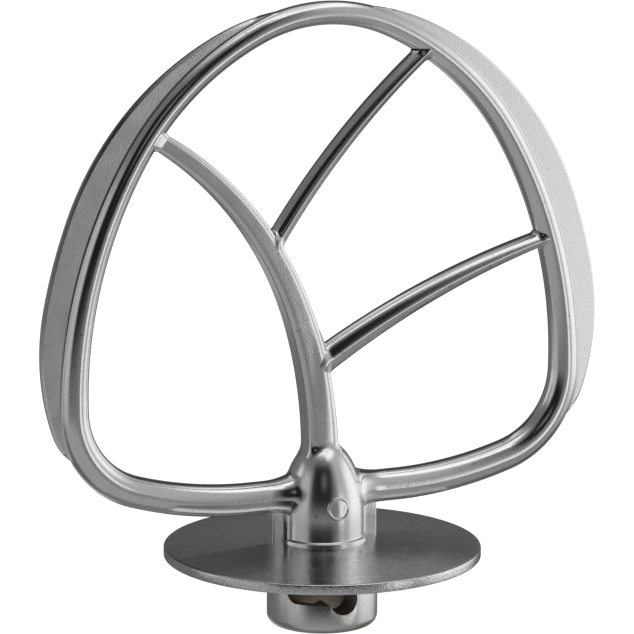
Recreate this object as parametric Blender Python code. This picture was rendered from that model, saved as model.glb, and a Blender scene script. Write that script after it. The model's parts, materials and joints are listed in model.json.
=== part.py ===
"""Pastry beater for a stand mixer, standing on the open end of its bayonet collar.

Metres, +Z up. The origin is on the drive shaft's axis, at the collar's open end. The paddle lies in the
XZ plane and its front faces -Y. The real tool is one stainless casting; here it is divided at the natural
lines between its features, and neighbouring pieces keep a small gap.
"""

from math import atan2, cos, hypot, pi, radians, sin, sqrt

import bmesh
import bpy
from mathutils import Matrix, Vector

GAP = 0.0003

# Bayonet collar: a short turned ring that slides over the mixer's drive shaft.
COLLAR_RADIUS = 0.015
COLLAR_ROUNDING = 0.0027
SOCKET_RADIUS = 0.0073
SOCKET_DEPTH = 0.035
PIN_SLOT_LOW = 0.0083
PIN_SLOT_HIGH = 0.0150
PIN_POCKET_RADIUS = 0.0040
PIN_POCKET_Z = 0.0094
PIN_TURN = radians(50)
KEYWAY_REACH = 0.0122
# The pin's cutters run from inside the socket to outside the collar.
PIN_CUT_START = 0.0058
PIN_CUT_END = 0.018

# Splash disc: a thin shield that falls away from a ridge along X to a flat rim.
DISC_RADIUS = 0.043
DISC_UNDERSIDE = 0.0188
DISC_RIM_TOP = 0.0216
DISC_RIM_BEVEL = 0.0005
DISC_RISE = 0.0029
DISC_DRAFT = 0.04
DISC_SEAT_Z = 0.0230

# Hub: a straight barrel with an ogive nose on a low flange.
HUB_RADIUS = 0.01125
HUB_BASE = 0.0249
HUB_BARREL_TOP = 0.0295
HUB_NOSE_LENGTH = 0.0213
HUB_NOSE_POWER = 2.15
HUB_TOP = 0.0489
FLANGE_RADIUS = 0.0123
FLANGE_BEVEL = 0.0003

# Loop: a round bar that tapers from the arms to the top. Each arc of its centreline is (radius, turn),
# from the middle of the top, down the right side and back to the hub.
LOOP_TOP = 0.1671
LOOP_ARCS = ((0.0453, 24.5), (0.0796, 35.0), (0.1265, 31.6), (0.0244, 71.5), (0.1120, 17.5))
LOOP_RADIUS_TOP = 0.0032
LOOP_RADIUS_ARM = 0.0044
LOOP_ARM_Z = 0.0366
LOOP_TAPER_POWER = 1.5
# Each arm swells towards the hub: the extra radius is this much on the hub's axis and nothing at the reach.
ARM_ROOT_FLARE = 0.0068
ARM_ROOT_REACH = 0.017

# Side blades: flat edges outside the loop. Each outline starts inside the bar at the top.
BLADE_START = (0.0104, 0.1685)
BLADE_HEADING = radians(-3.8)
BLADE_ARCS = ((0.0546, 21.0), (0.0846, 44.2), (0.1447, 10.0), (0.0668, 30.2), (0.0138, 45.0))
BLADE_THICKNESS = 0.0022
# Each blade's inner edge follows the bar's centreline from this distance along it to this one.
BLADE_BAR_SPAN = (0.0104, 0.1703)

# Cutting ribs: the main rib is a chain of arcs that turn left, each branch is a single arc. Half widths lie
# in the paddle's plane, half depths along Y.
MAIN_RIB_START = (-0.0009, 0.0493)
MAIN_RIB_HEADING = radians(92.1)
MAIN_RIB_ARCS = ((-0.1306, 15.0), (-0.0951, 42.6))
MAIN_RIB_HALF_WIDTHS = (0.0043, 0.0024)
MAIN_RIB_HALF_DEPTHS = (0.0038, 0.0029)
UPPER_BRANCH_CENTRE = (0.1684, -0.0124)
UPPER_BRANCH_RADIUS = 0.2178
UPPER_BRANCH_ENDS_X = (-0.0163, 0.0310)
UPPER_BRANCH_HALF_WIDTHS = (0.0026, 0.0022)
UPPER_BRANCH_HALF_DEPTHS = (0.0028, 0.0030)
LOWER_BRANCH_CENTRE = (0.1300, -0.1344)
LOWER_BRANCH_RADIUS = 0.2445
LOWER_BRANCH_ENDS_X = (-0.0038, 0.0672)
LOWER_BRANCH_HALF_WIDTHS = (0.0041, 0.0022)
LOWER_BRANCH_HALF_DEPTHS = (0.0034, 0.0032)

# Webs under the arms, from inside the hub's barrel outwards, and the raised pad on the hub.
WEB_ROOT = 0.009
WEB_REACH = 0.0153
WEB_THICKNESS = 0.0037
BADGE_RADIUS = 0.0032
BADGE_HEIGHT = 0.0006
BADGE_Z = 0.0339

# Mesh steps.
BAR_SIDES = 16
ROUND_SEGMENTS = 48
SMALL_SEGMENTS = 24
SLOT_STEPS = 12
ROUNDING_STEPS = 5
NOSE_STEPS = 8
DISC_RINGS = 4
STEP = 0.005
SMOOTH_BELOW = radians(35)
SAME_HEIGHT = 1e-6

STEEL = {
    "polished": ((0.72, 0.72, 0.73, 1.0), 0.14),
    "brushed": ((0.60, 0.60, 0.61, 1.0), 0.28),
    "turned": ((0.63, 0.62, 0.60, 1.0), 0.33),
}


# ---------------------------------------------------------------- scene, materials and meshes


def clear_scene():
    for item in list(bpy.data.objects):
        bpy.data.objects.remove(item, do_unlink=True)


def steel_material(name, finish):
    colour, roughness = STEEL[finish]
    material = bpy.data.materials.new(name)
    material.use_nodes = True
    shader = material.node_tree.nodes["Principled BSDF"]
    shader.inputs["Base Color"].default_value = colour
    shader.inputs["Metallic"].default_value = 1.0
    shader.inputs["Roughness"].default_value = roughness
    material.diffuse_color = colour
    return material


def finish_object(name, mesh_builder, finish):
    """Turns a bmesh into an object with outward faces, smooth sides and its own material."""
    bmesh.ops.recalc_face_normals(mesh_builder, faces=mesh_builder.faces)
    mesh = bpy.data.meshes.new(name)
    mesh_builder.to_mesh(mesh)
    mesh_builder.free()
    mesh.shade_smooth()
    mesh.set_sharp_from_angle(angle=SMOOTH_BELOW)
    item = bpy.data.objects.new(name, mesh)
    bpy.context.scene.collection.objects.link(item)
    item.data.materials.append(steel_material(name, finish))
    return item


def make_cutter(item):
    item.hide_render = True
    item.display_type = "WIRE"
    return item


def cut(item, *cutters):
    """Takes each cutter's shape out of the item with a Boolean modifier."""
    for cutter in cutters:
        modifier = item.modifiers.new("cut_" + cutter.name, "BOOLEAN")
        modifier.operation = "DIFFERENCE"
        modifier.solver = "EXACT"
        modifier.object = cutter
    return item


# ---------------------------------------------------------------- centrelines


def chain_length(arcs):
    return sum(abs(radius) * radians(turn) for radius, turn in arcs)


def chain_point(start, heading, arcs, distance):
    """(x, z, heading) at a distance along arcs, straight past the last. A negative radius turns left."""
    x, z = start
    for radius, turn in arcs:
        length = abs(radius) * radians(turn)
        part = min(distance, length) / radius
        x += radius * (sin(heading) - sin(heading - part))
        z += radius * (cos(heading - part) - cos(heading))
        heading -= part
        distance -= min(distance, length)
    return x + distance * cos(heading), z + distance * sin(heading), heading


def stations_between(point_at, begin, end, step=STEP):
    count = max(2, round((end - begin) / step))
    return [point_at(begin + (end - begin) * i / count) for i in range(count + 1)]


def loop_point(distance):
    """A point on the loop's centreline. Negative distances run down the left side."""
    x, z, heading = chain_point((0.0, LOOP_TOP), 0.0, LOOP_ARCS, abs(distance))
    return (x, z, heading) if distance >= 0 else (-x, z, -heading)


def loop_radius(z):
    """Round bar: thin at the top and full in the arms."""
    low = min(1.0, max(0.0, (LOOP_TOP - z) / (LOOP_TOP - LOOP_ARM_Z)))
    return LOOP_RADIUS_TOP + (LOOP_RADIUS_ARM - LOOP_RADIUS_TOP) * low**LOOP_TAPER_POWER


def arm_root_flare(x, z):
    """Extra radius where an arm swells into the hub. The loop's top, above the hub, has none."""
    if z > HUB_TOP:
        return 0.0
    return ARM_ROOT_FLARE * max(0.0, 1 - abs(x) / ARM_ROOT_REACH) ** 2


def blade_point(distance):
    return chain_point(BLADE_START, BLADE_HEADING, BLADE_ARCS, distance)


def main_rib_point(share):
    """Starts upright on the hub and turns left, tighter towards the loop."""
    distance = share * chain_length(MAIN_RIB_ARCS)
    return chain_point(MAIN_RIB_START, MAIN_RIB_HEADING, MAIN_RIB_ARCS, distance)


def branch_point(centre, radius, ends_x, share):
    """A branch's arc bulges up and to the left, so it turns right from its root to the loop."""
    x = ends_x[0] + (ends_x[1] - ends_x[0]) * share
    z = centre[1] + sqrt(radius**2 - (x - centre[0]) ** 2)
    return x, z, atan2(centre[0] - x, z - centre[1])


def mix(ends, share):
    return ends[0] + (ends[1] - ends[0]) * share


# ---------------------------------------------------------------- swept bars


def sweep(stations, half_sizes, sides=BAR_SIDES):
    """A closed bar through the stations. half_sizes holds (half width in plane, half depth) for each."""
    builder = bmesh.new()
    rings = []
    for (x, z, heading), (half_width, half_depth) in zip(stations, half_sizes):
        ring = []
        for k in range(sides):
            turn = 2 * pi * k / sides
            across = half_width * cos(turn)
            position = (x - across * sin(heading), half_depth * sin(turn), z + across * cos(heading))
            ring.append(builder.verts.new(position))
        rings.append(ring)
    for ring, following in zip(rings, rings[1:]):
        for k in range(sides):
            builder.faces.new((ring[k - 1], ring[k], following[k], following[k - 1]))
    builder.faces.new(rings[0])
    builder.faces.new(rings[-1])
    return builder


def loop_piece(begin, end, grow=0.0):
    stations = stations_between(loop_point, begin, end)
    sizes = [(loop_radius(z) + arm_root_flare(x, z) + grow,) * 2 for x, z, _ in stations]
    return sweep(stations, sizes)


def arc_ends():
    """Distances along the loop at which its arcs end."""
    ends = [0.0]
    for arc in LOOP_ARCS:
        ends.append(ends[-1] + chain_length([arc]))
    return ends


def add_loop(hub_cutter):
    """The top bow, two side bars and two arms, each ending on an arc's end."""
    ends = arc_ends()
    half_gap = GAP / 2
    inside_hub = ends[5] + loop_point(ends[5])[0] - HUB_RADIUS / 2
    bow_end = ends[1] - half_gap
    finish_object("top_bow", loop_piece(-bow_end, bow_end), "polished")
    for side, sign in (("left", -1), ("right", 1)):
        bar = sorted((sign * (ends[1] + half_gap), sign * (ends[3] - half_gap)))
        arm = sorted((sign * (ends[3] + half_gap), sign * inside_hub))
        finish_object(f"{side}_side_bar", loop_piece(*bar), "polished")
        cut(finish_object(f"{side}_arm", loop_piece(*arm), "polished"), hub_cutter)


def add_loop_cutter():
    ends = arc_ends()
    reach = ends[5] + loop_point(ends[5])[0] - HUB_RADIUS / 2
    return make_cutter(finish_object("loop_cutter", loop_piece(-reach, reach, GAP), "polished"))


def rib_piece(point_at, half_widths, half_depths, length, grow=0.0):
    count = round(length / STEP)
    shares = [i / count for i in range(count + 1)]
    stations = [point_at(share) for share in shares]
    sizes = [(mix(half_widths, s) + grow, mix(half_depths, s) + grow) for s in shares]
    return sweep(stations, sizes)


def main_rib_piece(grow=0.0):
    length = chain_length(MAIN_RIB_ARCS)
    return rib_piece(main_rib_point, MAIN_RIB_HALF_WIDTHS, MAIN_RIB_HALF_DEPTHS, length, grow)


def add_ribs(loop_cutter):
    """The main rib ends on the loop; the two branches run from the main rib to the loop."""
    cut(finish_object("main_rib", main_rib_piece(), "polished"), loop_cutter)
    rib_cutter = make_cutter(finish_object("main_rib_cutter", main_rib_piece(GAP), "polished"))
    branches = (
        (
            "upper_branch",
            UPPER_BRANCH_CENTRE,
            UPPER_BRANCH_RADIUS,
            UPPER_BRANCH_ENDS_X,
            UPPER_BRANCH_HALF_WIDTHS,
            UPPER_BRANCH_HALF_DEPTHS,
        ),
        (
            "lower_branch",
            LOWER_BRANCH_CENTRE,
            LOWER_BRANCH_RADIUS,
            LOWER_BRANCH_ENDS_X,
            LOWER_BRANCH_HALF_WIDTHS,
            LOWER_BRANCH_HALF_DEPTHS,
        ),
    )
    for name, centre, radius, ends_x, half_widths, half_depths in branches:

        def point_at(share, centre=centre, radius=radius, ends_x=ends_x):
            return branch_point(centre, radius, ends_x, share)

        (x0, z0, _), (x1, z1, _) = point_at(0.0), point_at(1.0)
        builder = rib_piece(point_at, half_widths, half_depths, hypot(x1 - x0, z1 - z0))
        cut(finish_object(name, builder, "polished"), rib_cutter, loop_cutter)


# ---------------------------------------------------------------- flat pieces


def plate(outline, thickness):
    """A flat plate in the XZ plane, centred on Y = 0."""
    builder = bmesh.new()
    front = [builder.verts.new((x, -thickness / 2, z)) for x, z in outline]
    face = builder.faces.new(front)
    extruded = bmesh.ops.extrude_face_region(builder, geom=[face])["geom"]
    moved = [v for v in extruded if isinstance(v, bmesh.types.BMVert)]
    bmesh.ops.translate(builder, verts=moved, vec=(0.0, thickness, 0.0))
    return builder


def add_blades(loop_cutter):
    """Each blade spans from the loop's centreline to its own outline; the cutter frees it from the bar."""
    length = chain_length(BLADE_ARCS)
    outer = [point[:2] for point in stations_between(blade_point, 0.0, length)]
    inner = [point[:2] for point in stations_between(loop_point, *BLADE_BAR_SPAN)]
    for side, sign in (("left", -1), ("right", 1)):
        outline = [(sign * x, z) for x, z in outer + inner[::-1]]
        blade = finish_object(f"{side}_blade", plate(outline, BLADE_THICKNESS), "brushed")
        cut(blade, loop_cutter)


def add_webs(hub_cutter, loop_cutter):
    """Upright walls below the arms, from the hub's barrel out to the collar's radius."""
    bottom = disc_top(FLANGE_RADIUS, 0.0) + GAP
    for side, sign in (("left", -1), ("right", 1)):
        inner = sign * WEB_ROOT
        outer = sign * WEB_REACH
        outline = [(inner, bottom), (outer, bottom), (outer, LOOP_ARM_Z), (inner, LOOP_ARM_Z)]
        web = finish_object(f"{side}_web", plate(outline, WEB_THICKNESS), "polished")
        cut(web, hub_cutter, loop_cutter)


# ---------------------------------------------------------------- round pieces


def revolve(profile, closed, segments=ROUND_SEGMENTS):
    """Turns (radius, z) points about Z. A closed profile makes a ring, an open one ends on the axis."""
    builder = bmesh.new()
    points = [builder.verts.new((radius, 0.0, z)) for radius, z in profile]
    edges = [builder.edges.new(pair) for pair in zip(points, points[1:])]
    if closed:
        edges.append(builder.edges.new((points[-1], points[0])))
    bmesh.ops.spin(
        builder,
        geom=points + edges,
        axis=(0.0, 0.0, 1.0),
        cent=(0.0, 0.0, 0.0),
        angle=2 * pi,
        steps=segments,
        use_merge=True,
    )
    bmesh.ops.remove_doubles(builder, verts=builder.verts, dist=SAME_HEIGHT)
    return builder


def nose_radius(z):
    """Barrel up to HUB_BARREL_TOP, then a nose slightly fuller than a quarter ellipse."""
    above = max(0.0, z - HUB_BARREL_TOP) / HUB_NOSE_LENGTH
    return HUB_RADIUS * sqrt(1 - above**HUB_NOSE_POWER)


def hub_side(grow=0.0):
    """(radius, z) up the hub's outer side, from its base to its cut top."""
    rise = HUB_TOP - HUB_BARREL_TOP
    heights = [HUB_BARREL_TOP + rise * sin(pi / 2 * i / NOSE_STEPS) for i in range(NOSE_STEPS + 1)]
    return [(HUB_RADIUS + grow, HUB_BASE)] + [(nose_radius(z) + grow, z) for z in heights]


def add_hub():
    profile = hub_side() + [(0.0, HUB_TOP)]
    socket = [(0.0, SOCKET_DEPTH), (SOCKET_RADIUS, SOCKET_DEPTH), (SOCKET_RADIUS, HUB_BASE)]
    builder = revolve(socket + profile, closed=False)
    finish_object("hub_dome", builder, "polished")
    flange_low = DISC_SEAT_Z + GAP
    flange_high = HUB_BASE - GAP
    profile = [
        (SOCKET_RADIUS, flange_low),
        (FLANGE_RADIUS, flange_low),
        (FLANGE_RADIUS, flange_high - FLANGE_BEVEL),
        (FLANGE_RADIUS - FLANGE_BEVEL, flange_high),
        (SOCKET_RADIUS, flange_high),
    ]
    finish_object("hub_flange", revolve(profile, closed=True), "polished")


def add_hub_cutter():
    """The hub and its flange, grown by the gap."""
    profile = [(0.0, DISC_SEAT_Z), (FLANGE_RADIUS + GAP, DISC_SEAT_Z), (FLANGE_RADIUS + GAP, HUB_BASE)]
    profile += hub_side(GAP) + [(0.0, HUB_TOP)]
    return make_cutter(finish_object("hub_cutter", revolve(profile, closed=False), "polished"))


def disc_top(radius, y):
    """Height of the disc's top: a shallow cone with a ridge along X that fades out at the rim."""
    inside = radius / DISC_RADIUS
    return DISC_RIM_TOP + DISC_RISE * (1 - inside) - DISC_DRAFT * abs(y) * (1 - inside**2)


def add_disc():
    seat_radius = FLANGE_RADIUS + GAP
    edge = DISC_RADIUS - DISC_RIM_BEVEL
    slope = [seat_radius + (edge - seat_radius) * i / DISC_RINGS for i in range(DISC_RINGS + 1)]
    profile = [(SOCKET_RADIUS, DISC_UNDERSIDE), (DISC_RADIUS, DISC_UNDERSIDE)]
    profile += [(DISC_RADIUS, DISC_RIM_TOP - DISC_RIM_BEVEL)]
    profile += [(radius, DISC_RIM_TOP) for radius in reversed(slope)]
    profile += [(seat_radius, DISC_SEAT_Z), (SOCKET_RADIUS, DISC_SEAT_Z)]
    builder = revolve(profile, closed=True)
    for vertex in builder.verts:
        if abs(vertex.co.z - DISC_RIM_TOP) < SAME_HEIGHT:
            vertex.co.z = disc_top(hypot(vertex.co.x, vertex.co.y), vertex.co.y)
    finish_object("splash_disc", builder, "brushed")


def radial_cylinder(name, radius, angle, z):
    """A cutter that lies along a radius of the collar, through its wall."""
    direction = Vector((cos(angle), sin(angle), 0.0))
    builder = bmesh.new()
    turned = direction.to_track_quat("Z", "Y").to_matrix().to_4x4()
    middle = direction * (PIN_CUT_START + PIN_CUT_END) / 2 + Vector((0.0, 0.0, z))
    bmesh.ops.create_cone(
        builder,
        cap_ends=True,
        segments=SMALL_SEGMENTS,
        radius1=radius,
        radius2=radius,
        depth=PIN_CUT_END - PIN_CUT_START,
        matrix=Matrix.Translation(middle) @ turned,
    )
    return make_cutter(finish_object(name, builder, "turned"))


def slot_sector():
    """A cutter for the stretch of slot that the pin turns along, round the collar's front."""
    builder = bmesh.new()
    corners = [(r, PIN_SLOT_LOW) for r in (PIN_CUT_START, PIN_CUT_END)]
    corners += [(r, PIN_SLOT_HIGH) for r in (PIN_CUT_END, PIN_CUT_START)]
    angles = [-pi / 2 - PIN_TURN * i / SLOT_STEPS for i in range(SLOT_STEPS + 1)]
    rings = []
    for angle in angles:
        rings.append([builder.verts.new((r * cos(angle), r * sin(angle), z)) for r, z in corners])
    for ring, following in zip(rings, rings[1:]):
        for k in range(4):
            builder.faces.new((ring[k - 1], ring[k], following[k], following[k - 1]))
    builder.faces.new(rings[0])
    builder.faces.new(rings[-1])
    return make_cutter(finish_object("slot_cutter", builder, "turned"))


def keyway():
    """A cutter for the groove that lets the pin up the socket's wall to the slot's far end."""
    width = PIN_SLOT_HIGH - PIN_SLOT_LOW
    angle = -pi / 2 - PIN_TURN
    depth = KEYWAY_REACH - PIN_CUT_START
    height = (PIN_SLOT_LOW + PIN_SLOT_HIGH) / 2 + GAP
    builder = bmesh.new()
    bmesh.ops.create_cube(builder, size=1.0)
    bmesh.ops.scale(builder, vec=(depth, width, height), verts=builder.verts)
    bmesh.ops.translate(builder, vec=(KEYWAY_REACH - depth / 2, 0.0, height / 2 - GAP), verts=builder.verts)
    bmesh.ops.rotate(builder, cent=(0, 0, 0), matrix=Matrix.Rotation(angle, 3, "Z"), verts=builder.verts)
    return make_cutter(finish_object("keyway_cutter", builder, "turned"))


def add_collar():
    top = DISC_UNDERSIDE - GAP
    profile = [(SOCKET_RADIUS, top), (SOCKET_RADIUS, 0.0)]
    for i in range(ROUNDING_STEPS + 1):
        turn = pi / 2 * i / ROUNDING_STEPS
        radius = COLLAR_RADIUS - COLLAR_ROUNDING * (1 - sin(turn))
        profile.append((radius, COLLAR_ROUNDING * (1 - cos(turn))))
    profile.append((COLLAR_RADIUS, top))
    collar = finish_object("bayonet_collar", revolve(profile, closed=True), "turned")
    slot_middle = (PIN_SLOT_LOW + PIN_SLOT_HIGH) / 2
    slot_half = (PIN_SLOT_HIGH - PIN_SLOT_LOW) / 2
    far_end = -pi / 2 - PIN_TURN
    cut(
        collar,
        slot_sector(),
        radial_cylinder("slot_end_cutter", slot_half, far_end, slot_middle),
        radial_cylinder("pin_pocket_cutter", PIN_POCKET_RADIUS, -pi / 2, PIN_POCKET_Z),
        keyway(),
    )


def add_badge():
    """A blank round pad that follows the hub's front, where a casting carries its number."""
    builder = bmesh.new()
    spokes = SMALL_SEGMENTS

    def skin(radius, turn, height):
        x = radius * cos(turn)
        z = BADGE_Z + radius * sin(turn)
        return builder.verts.new((x, -sqrt((nose_radius(z) + height) ** 2 - x**2), z))

    radii = (BADGE_RADIUS, BADGE_RADIUS / 2)
    layers = {}
    for height in (GAP, GAP + BADGE_HEIGHT):
        rings = [[skin(r, 2 * pi * k / spokes, height) for k in range(spokes)] for r in radii]
        middle = skin(0.0, 0.0, height)
        for k in range(spokes):
            builder.faces.new((rings[0][k - 1], rings[0][k], rings[1][k], rings[1][k - 1]))
            builder.faces.new((rings[1][k - 1], rings[1][k], middle))
        layers[height] = rings[0]
    back, front = layers.values()
    for k in range(spokes):
        builder.faces.new((back[k - 1], back[k], front[k], front[k - 1]))
    finish_object("mould_badge", builder, "polished")


def build():
    clear_scene()
    hub_cutter = add_hub_cutter()
    loop_cutter = add_loop_cutter()
    add_collar()
    add_disc()
    add_hub()
    add_badge()
    add_webs(hub_cutter, loop_cutter)
    add_loop(hub_cutter)
    add_blades(loop_cutter)
    add_ribs(loop_cutter)


build()
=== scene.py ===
"""The looks of the pastry beater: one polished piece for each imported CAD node, a pale floor and studio light.

Metres, +Z up, in the CAD model's own frame. The beater stands on its collar and its front faces -Y. The real
tool is one casting, so each bar's end is drawn out into a fillet that lies on its neighbour's surface.
"""

import json
from math import atan2, cos, hypot, pi, radians, sin, sqrt

import bmesh
import bpy
import numpy as np
from mathutils import Matrix, Quaternion, Vector

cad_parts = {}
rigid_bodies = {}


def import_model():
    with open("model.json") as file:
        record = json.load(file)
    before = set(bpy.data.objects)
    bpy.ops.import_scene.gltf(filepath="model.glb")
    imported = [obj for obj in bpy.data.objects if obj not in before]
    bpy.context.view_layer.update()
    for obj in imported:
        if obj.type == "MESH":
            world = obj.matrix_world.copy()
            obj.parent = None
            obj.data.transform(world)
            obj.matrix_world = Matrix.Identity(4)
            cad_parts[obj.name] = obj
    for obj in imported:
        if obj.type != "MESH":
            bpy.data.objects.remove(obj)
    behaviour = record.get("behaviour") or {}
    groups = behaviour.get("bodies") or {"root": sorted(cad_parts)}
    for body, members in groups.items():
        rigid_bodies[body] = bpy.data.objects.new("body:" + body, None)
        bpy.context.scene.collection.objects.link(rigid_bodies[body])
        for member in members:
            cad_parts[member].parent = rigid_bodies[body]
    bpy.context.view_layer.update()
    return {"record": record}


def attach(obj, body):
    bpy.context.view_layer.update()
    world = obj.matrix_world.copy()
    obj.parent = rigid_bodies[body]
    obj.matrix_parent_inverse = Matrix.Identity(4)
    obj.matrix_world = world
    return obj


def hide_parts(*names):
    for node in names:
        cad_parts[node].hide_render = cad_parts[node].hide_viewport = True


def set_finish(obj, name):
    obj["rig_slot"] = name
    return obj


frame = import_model()

# Loop, ribs and blades: the centrelines that the CAD model has. An arc is (radius, turn in degrees), and a
# negative radius turns left.
LOOP_TOP = 0.1671
LOOP_ARCS = ((0.0453, 24.5), (0.0796, 35.0), (0.1265, 31.6), (0.0244, 71.5), (0.1120, 17.5))
LOOP_RADIUS_TOP = 0.0032
LOOP_RADIUS_ARM = 0.0044
LOOP_ARM_Z = 0.0366
LOOP_TAPER_POWER = 1.5
ARM_ROOT_FLARE = 0.0068
ARM_ROOT_REACH = 0.017
BLADE_START = (0.0104, 0.1685)
BLADE_HEADING = -3.8
BLADE_ARCS = ((0.0546, 21.0), (0.0846, 44.2), (0.1447, 10.0), (0.0668, 30.2), (0.0138, 45.0))
BLADE_THICKNESS = 0.0022
BLADE_BEVEL = 0.0007
# The CAD outline is made of short straight steps, which lie this far inside its arcs.
BLADE_INSET = 0.00007
BLADE_FILLET = 0.0009
MAIN_RIB_START = (-0.0009, 0.0493)
MAIN_RIB_HEADING = 92.1
MAIN_RIB_ARCS = ((-0.1306, 15.0), (-0.0951, 42.6))
UPPER_BRANCH_CENTRE = (0.1684, -0.0124)
UPPER_BRANCH_RADIUS = 0.2178
UPPER_BRANCH_ENDS_X = (-0.0163, 0.0310)
LOWER_BRANCH_CENTRE = (0.1300, -0.1344)
LOWER_BRANCH_RADIUS = 0.2445
LOWER_BRANCH_ENDS_X = (-0.0038, 0.0672)

# Hub, webs, disc and collar.
HUB_RADIUS = 0.01125
HUB_BARREL_TOP = 0.0295
HUB_NOSE_LENGTH = 0.0213
HUB_NOSE_POWER = 2.15
HUB_BASE = 0.0249
FLANGE_RADIUS = 0.0123
SOCKET_RADIUS = 0.0073
SOCKET_DEPTH = 0.035
WEB_REACH = 0.0153
WEB_THICKNESS = 0.0037
BADGE_Z = 0.0339
BADGE_RADIUS = 0.0032
DISC_RADIUS = 0.043
DISC_UNDERSIDE = 0.0188
DISC_RIM_TOP = 0.0216
DISC_RISE = 0.0029
DISC_DRAFT = 0.04
COLLAR_RADIUS = 0.015
COLLAR_ROUNDING = 0.0027
PIN_SLOT_LOW = 0.0083
PIN_SLOT_HIGH = 0.0150
PIN_POCKET_RADIUS = 0.0040
PIN_POCKET_Z = 0.0094
PIN_TURN = radians(50)
KEYWAY_REACH = 0.0122

ARM_FILLET = 0.0012
RIB_FILLET = 0.0015

AROUND = 64
STEP = 0.0011
# Where a fillet thins out to less than the first height over its neighbour, it dips under it by the second.
SKIN_SHARED = 0.00003
SKIN_SINK = 0.00008
# A bar ends this share of its neighbour's half width before the neighbour's centreline.
SKIN_END = 0.3

# The collar's colour turns from its bright outside to a darker, browner bore between these radii.
BORE_SHADE_RADII = (0.0136, 0.0146)


# ---------------------------------------------------------------- centrelines


class Line:
    """A planar centreline in XZ made of arcs, straight past its ends. A mirrored one runs both ways from x = 0."""

    def __init__(self, start, heading, arcs, mirrored=False):
        self.mirrored = mirrored
        self.pieces = []
        x, z = start
        reached = 0.0
        for radius, turn in arcs:
            length = abs(radius) * radians(turn)
            self.pieces.append((x, z, heading, radius, reached, length))
            after = heading - length / radius
            x += radius * (sin(heading) - sin(after))
            z += radius * (cos(after) - cos(heading))
            heading = after
            reached += length
        self.finish = (x, z, heading)
        self.length = reached

    def point(self, distance):
        """x, z and heading at each distance."""
        distance = np.asarray(distance, float)
        side = np.where(distance < 0, -1.0, 1.0) if self.mirrored else np.ones_like(distance)
        run = distance * side
        x0, z0, heading0 = self.pieces[0][:3]
        x = x0 + np.minimum(run, 0) * cos(heading0)
        z = z0 + np.minimum(run, 0) * sin(heading0)
        heading = np.full(run.shape, float(heading0))
        for _, _, begin, radius, reached, length in self.pieces:
            after = begin - np.clip(run - reached, 0, length) / radius
            x = x + radius * (np.sin(begin) - np.sin(after))
            z = z + radius * (np.cos(after) - np.cos(begin))
            heading = np.where(run > reached, after, heading)
        beyond = np.maximum(run - self.length, 0)
        return side * (x + beyond * np.cos(heading)), z + beyond * np.sin(heading), side * heading

    def nearest(self, points):
        """For each point, the distance along the line and the offset to the line's left."""
        side = np.where(points[..., 0] < 0, -1.0, 1.0) if self.mirrored else 1.0
        x = points[..., 0] * side
        z = points[..., 2]
        along = np.zeros(x.shape)
        across = np.full(x.shape, 1.0)
        for x0, z0, heading, radius, reached, length in self.pieces:
            dx = (x - x0 - radius * sin(heading)) * np.sign(radius)
            dz = (z - z0 + radius * cos(heading)) * np.sign(radius)
            turned = heading - np.arctan2(-dx, dz)
            run = ((turned + pi) % (2 * pi) - pi) * radius
            offset = np.sign(radius) * (np.hypot(dx, dz) - abs(radius))
            better = (run >= -1e-9) & (run <= length + 1e-9) & (np.abs(offset) < np.abs(across))
            along = np.where(better, reached + run, along)
            across = np.where(better, offset, across)
        ends = [(self.finish, self.length, 1)]
        if not self.mirrored:
            ends.append((self.pieces[0][:3], 0.0, -1))
        for (x0, z0, heading), reached, way in ends:
            ahead = (x - x0) * cos(heading) + (z - z0) * sin(heading)
            offset = (z - z0) * cos(heading) - (x - x0) * sin(heading)
            better = (ahead * way >= 0) & (np.abs(offset) < np.abs(across))
            along = np.where(better, reached + ahead, along)
            across = np.where(better, offset, across)
        return along * side, across


def branch_line(centre, radius, ends_x):
    """A branch's arc bulges up and to the left. It runs from the main rib to the loop."""
    begin, end = [atan2(centre[0] - x, sqrt(radius**2 - (x - centre[0]) ** 2)) for x in ends_x]
    start = (ends_x[0], centre[1] + sqrt(radius**2 - (ends_x[0] - centre[0]) ** 2))
    return Line(start, begin, [(radius, (begin - end) * 180 / pi)])


# ---------------------------------------------------------------- bars as surfaces and as fields


def round_section(turn):
    return np.ones_like(turn)


def faceted_section(faces, sharpness):
    """A bar's section as a polygon with softened corners. Each face is (direction in degrees, distance)."""

    def reach(turn):
        total = 0.0
        for direction, distance in faces:
            total = total + np.maximum(np.cos(turn - radians(direction)) / distance, 0) ** sharpness
        return total ** (-1 / sharpness)

    return reach


class Bar:
    """A bar swept along a line. It gives points on its surface and a field around it."""

    def __init__(self, line, half_width, half_depth, section=round_section):
        self.line = line
        self.half_width = half_width
        self.half_depth = half_depth
        self.section = section

    def surface(self, distance, turn):
        x, z, heading = self.line.point(distance)
        reach = self.section(turn)
        across = self.half_width(distance) * reach * np.cos(turn)
        depth = self.half_depth(distance) * reach * np.sin(turn)
        return np.stack([x - across * np.sin(heading), depth, z + across * np.cos(heading)], -1)

    def field(self, points):
        """About the distance outside the bar, in metres, and negative inside."""
        along, across = self.line.nearest(points)
        width = self.half_width(along)
        depth = self.half_depth(along)
        u = across / width
        v = points[..., 1] / depth
        share = np.hypot(u, v) / self.section(np.arctan2(v, u))
        return (share - 1) * np.minimum(width, depth)

    def off_middle(self, points):
        """0 over the bar's centreline, seen from the front, and 1 from its edges outwards."""
        along, across = self.line.nearest(points)
        share = np.clip(np.abs(across) / self.half_width(along), 0, 1)
        return share * share * (3 - 2 * share)


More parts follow.
